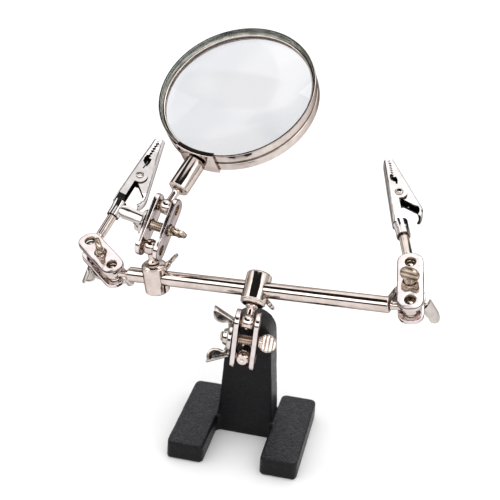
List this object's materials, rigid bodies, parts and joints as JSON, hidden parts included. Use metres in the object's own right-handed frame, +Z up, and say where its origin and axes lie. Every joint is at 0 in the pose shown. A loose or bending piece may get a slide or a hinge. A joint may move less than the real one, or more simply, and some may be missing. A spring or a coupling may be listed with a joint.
{
  "type": "helping hands clamp with magnifier",
  "caption": "Bench clamp: cast base and post, ball-jointed crossbar with a spring clip at each end, and a round magnifier on a sliding ball-jointed arm.",
  "frame": {"origin": "on the underside of the cast base, below the middle of its post", "axes": "+Z up, +X to the right as seen from the front, +Y to the back; the base feet run front to back"},
  "size_m": [0.1476, 0.1131, 0.1452],
  "materials": {
    "black_casting": "satin black paint over a grainy sand casting",
    "bright_nickel": "bright nickel plate",
    "plate_nickel": "bright nickel plate on stamped steel",
    "clip_steel": "nickel plate on bent sheet steel",
    "rim_chrome": "bright nickel plate on a rolled steel band",
    "spring_steel": "drawn spring wire",
    "glass": "clear polished glass, slightly domed on both faces"
  },
  "bodies": {
    "base": {"base_casting": "black_casting"},
    "base_stud": {"base_ball_stud": "bright_nickel"},
    "centre_clamp": {"centre_clamp_front_plate": "plate_nickel", "centre_clamp_rear_plate": "plate_nickel"},
    "centre_clamp_screw": {"centre_clamp_screw": "bright_nickel"},
    "centre_clamp_nut": {"centre_clamp_wing_nut": "bright_nickel"},
    "centre_barrel_stud": {"centre_barrel_ball_stud": "bright_nickel"},
    "centre_barrel": {"centre_barrel": "bright_nickel"},
    "centre_thumbscrew": {"centre_barrel_thumbscrew": "bright_nickel"},
    "crossbar": {"crossbar": "bright_nickel"},
    "slider_barrel": {"slider_barrel": "bright_nickel"},
    "slider_thumbscrew": {"slider_barrel_thumbscrew": "bright_nickel"},
    "slider_stud": {"slider_ball_stud": "bright_nickel"},
    "magnifier_clamp": {"magnifier_clamp_front_plate": "plate_nickel", "magnifier_clamp_rear_plate": "plate_nickel"},
    "magnifier_clamp_screw": {"magnifier_clamp_screw": "bright_nickel"},
    "magnifier_clamp_nut": {"magnifier_clamp_wing_nut": "bright_nickel"},
    "magnifier_stud": {"magnifier_ball_stud": "bright_nickel"},
    "magnifier_head": {"magnifier_socket": "bright_nickel", "magnifier_bracket": "rim_chrome", "magnifier_rim": "rim_chrome", "magnifier_lens": "glass"},
    "left_rod_stud": {"left_rod_ball_stud": "bright_nickel"},
    "left_clamp": {"left_clamp_front_plate": "plate_nickel", "left_clamp_rear_plate": "plate_nickel"},
    "left_clamp_screw": {"left_clamp_screw": "bright_nickel"},
    "left_clamp_nut": {"left_clamp_wing_nut": "bright_nickel"},
    "left_clip_stem": {"left_clip_stem": "bright_nickel"},
    "left_clip": {"left_clip_fixed_jaw": "clip_steel", "left_clip_rivet": "bright_nickel", "left_clip_spring": "spring_steel"},
    "left_clip_jaw": {"left_clip_moving_jaw": "clip_steel"},
    "right_rod_stud": {"right_rod_ball_stud": "bright_nickel"},
    "right_clamp": {"right_clamp_front_plate": "plate_nickel", "right_clamp_rear_plate": "plate_nickel"},
    "right_clamp_screw": {"right_clamp_screw": "bright_nickel"},
    "right_clamp_nut": {"right_clamp_wing_nut": "bright_nickel"},
    "right_clip_stem": {"right_clip_stem": "bright_nickel"},
    "right_clip": {"right_clip_fixed_jaw": "clip_steel", "right_clip_rivet": "bright_nickel", "right_clip_spring": "spring_steel"},
    "right_clip_jaw": {"right_clip_moving_jaw": "clip_steel"}
  },
  "joints": [
    {"name": "base_stud_turn", "type": "hinge", "parent": "base", "child": "base_stud", "pos_m": [0, -0.0144, 0.0426], "axis": [0, 1, 0], "range_deg": [-25, 25]},
    {"name": "centre_clamp_swing", "type": "hinge", "parent": "base_stud", "child": "centre_clamp", "pos_m": [0, -0.0144, 0.0426], "axis": [0.9933, 0.0904, -0.0715], "range_deg": [-8, 55]},
    {"name": "centre_clamp_screw_turn", "type": "hinge", "parent": "centre_clamp", "child": "centre_clamp_screw", "pos_m": [0.0007, -0.01546, 0.051], "axis": [0.9933, 0.0904, -0.0715], "continuous": true},
    {"name": "centre_clamp_nut_turn", "type": "hinge", "parent": "centre_clamp", "child": "centre_clamp_nut", "pos_m": [0.0007, -0.01546, 0.051], "axis": [0.9933, 0.0904, -0.0715], "continuous": true},
    {"name": "centre_barrel_stud_swing", "type": "hinge", "parent": "centre_clamp", "child": "centre_barrel_stud", "pos_m": [0.0014, -0.01653, 0.05941], "axis": [-0.9933, -0.0904, 0.0715], "range_deg": [-95, 5]},
    {"name": "centre_barrel_turn", "type": "hinge", "parent": "centre_barrel_stud", "child": "centre_barrel", "pos_m": [0.00194, -0.00654, 0.06848], "axis": [0.0396, 0.7396, 0.6719], "range_deg": [-15, 40]},
    {"name": "centre_thumbscrew_turn", "type": "hinge", "parent": "centre_barrel", "child": "centre_thumbscrew", "pos_m": [0.00194, -0.00654, 0.06848], "axis": [0.2183, 0.6498, -0.7281], "continuous": true},
    {"name": "crossbar_slide", "type": "slide", "parent": "centre_barrel", "child": "crossbar", "axis": [0.9751, -0.1754, 0.1357], "range_m": [-0.035, 0.025]},
    {"name": "slider_slide", "type": "slide", "parent": "crossbar", "child": "slider_barrel", "axis": [-0.9751, 0.1754, -0.1357], "range_m": [-0.03, 0.005]},
    {"name": "slider_thumbscrew_turn", "type": "hinge", "parent": "slider_barrel", "child": "slider_thumbscrew", "pos_m": [-0.04009, 0.00102, 0.06263], "axis": [0.1676, 0.9836, 0.0674], "continuous": true},
    {"name": "slider_stud_turn", "type": "hinge", "parent": "slider_barrel", "child": "slider_stud", "pos_m": [-0.04205, 0.00044, 0.07597], "axis": [-0.1453, -0.043, 0.9885], "range_deg": [-75, 75]},
    {"name": "magnifier_clamp_swing", "type": "hinge", "parent": "slider_stud", "child": "magnifier_clamp", "pos_m": [-0.04205, 0.00044, 0.07597], "axis": [0.9848, -0.1384, -0.1045], "range_deg": [-40, 50]},
    {"name": "magnifier_clamp_screw_turn", "type": "hinge", "parent": "magnifier_clamp", "child": "magnifier_clamp_screw", "pos_m": [-0.04061, 0.00587, 0.08235], "axis": [0.9848, -0.1384, -0.1045], "continuous": true},
    {"name": "magnifier_clamp_nut_turn", "type": "hinge", "parent": "magnifier_clamp", "child": "magnifier_clamp_nut", "pos_m": [-0.04061, 0.00587, 0.08235], "axis": [0.9848, -0.1384, -0.1045], "continuous": true},
    {"name": "magnifier_stud_swing", "type": "hinge", "parent": "magnifier_clamp", "child": "magnifier_stud", "pos_m": [-0.03917, 0.01131, 0.08873], "axis": [-0.9848, 0.1384, 0.1045], "range_deg": [-50, 20]},
    {"name": "magnifier_head_turn", "type": "hinge", "parent": "magnifier_stud", "child": "magnifier_head", "pos_m": [-0.03917, 0.01131, 0.08873], "axis": [0.3016, 0.754, 0.5835], "continuous": true},
    {"name": "left_rod_stud_turn", "type": "hinge", "parent": "crossbar", "child": "left_rod_stud", "pos_m": [-0.05881, 0.00439, 0.06002], "axis": [0.9751, -0.1754, 0.1357], "range_deg": [-45, 90]},
    {"name": "left_clamp_swing", "type": "hinge", "parent": "left_rod_stud", "child": "left_clamp", "pos_m": [-0.05881, 0.00439, 0.06002], "axis": [-0.0343, -0.3633, 0.9311], "range_deg": [-75, 80]},
    {"name": "left_clamp_screw_turn", "type": "hinge", "parent": "left_clamp", "child": "left_clamp_screw", "pos_m": [-0.06531, 0.00956, 0.0618], "axis": [-0.0343, -0.3633, 0.9311], "continuous": true},
    {"name": "left_clamp_nut_turn", "type": "hinge", "parent": "left_clamp", "child": "left_clamp_nut", "pos_m": [-0.06531, 0.00956, 0.0618], "axis": [-0.0343, -0.3633, 0.9311], "continuous": true},
    {"name": "left_clip_stem_swing", "type": "hinge", "parent": "left_clamp", "child": "left_clip_stem", "pos_m": [-0.07182, 0.01474, 0.06358], "axis": [0.0343, 0.3633, -0.9311], "range_deg": [-80, 55]},
    {"name": "left_clip_turn", "type": "hinge", "parent": "left_clip_stem", "child": "left_clip", "pos_m": [-0.07182, 0.01474, 0.06358], "axis": [0.2452, 0.802, 0.5446], "continuous": true},
    {"name": "left_clip_jaw_open", "type": "hinge", "parent": "left_clip", "child": "left_clip_jaw", "pos_m": [-0.06129, 0.04535, 0.08408], "axis": [-0.1895, 0.5906, -0.7844], "range_deg": [0, 16], "stiffness_Nm_per_rad": 0.15, "springref_deg": -20.05, "deforming": ["left_clip_spring"]},
    {"name": "right_rod_stud_turn", "type": "hinge", "parent": "crossbar", "child": "right_rod_stud", "pos_m": [0.06015, -0.01702, 0.07658], "axis": [0.9751, -0.1754, 0.1357], "range_deg": [-45, 90]},
    {"name": "right_clamp_swing", "type": "hinge", "parent": "right_rod_stud", "child": "right_clamp", "pos_m": [0.06015, -0.01702, 0.07658], "axis": [-0.1061, -0.4286, 0.8973], "range_deg": [-100, 24]},
    {"name": "right_clamp_screw_turn", "type": "hinge", "parent": "right_clamp", "child": "right_clamp_screw", "pos_m": [0.05912, -0.00936, 0.08012], "axis": [-0.1061, -0.4286, 0.8973], "continuous": true},
    {"name": "right_clamp_nut_turn", "type": "hinge", "parent": "right_clamp", "child": "right_clamp_nut", "pos_m": [0.05912, -0.00936, 0.08012], "axis": [-0.1061, -0.4286, 0.8973], "continuous": true},
    {"name": "right_clip_stem_swing", "type": "hinge", "parent": "right_clamp", "child": "right_clip_stem", "pos_m": [0.05808, -0.0017, 0.08365], "axis": [0.1061, 0.4286, -0.8973], "range_deg": [-75, 90]},
    {"name": "right_clip_turn", "type": "hinge", "parent": "right_clip_stem", "child": "right_clip", "pos_m": [0.05808, -0.0017, 0.08365], "axis": [-0.2756, 0.9015, 0.3338], "continuous": true},
    {"name": "right_clip_jaw_open", "type": "hinge", "parent": "right_clip", "child": "right_clip_jaw", "pos_m": [0.04868, 0.03314, 0.09655], "axis": [-0.0002, 0.3472, -0.9378], "range_deg": [0, 16], "stiffness_Nm_per_rad": 0.15, "springref_deg": -20.05, "deforming": ["right_clip_spring"]}
  ]
}
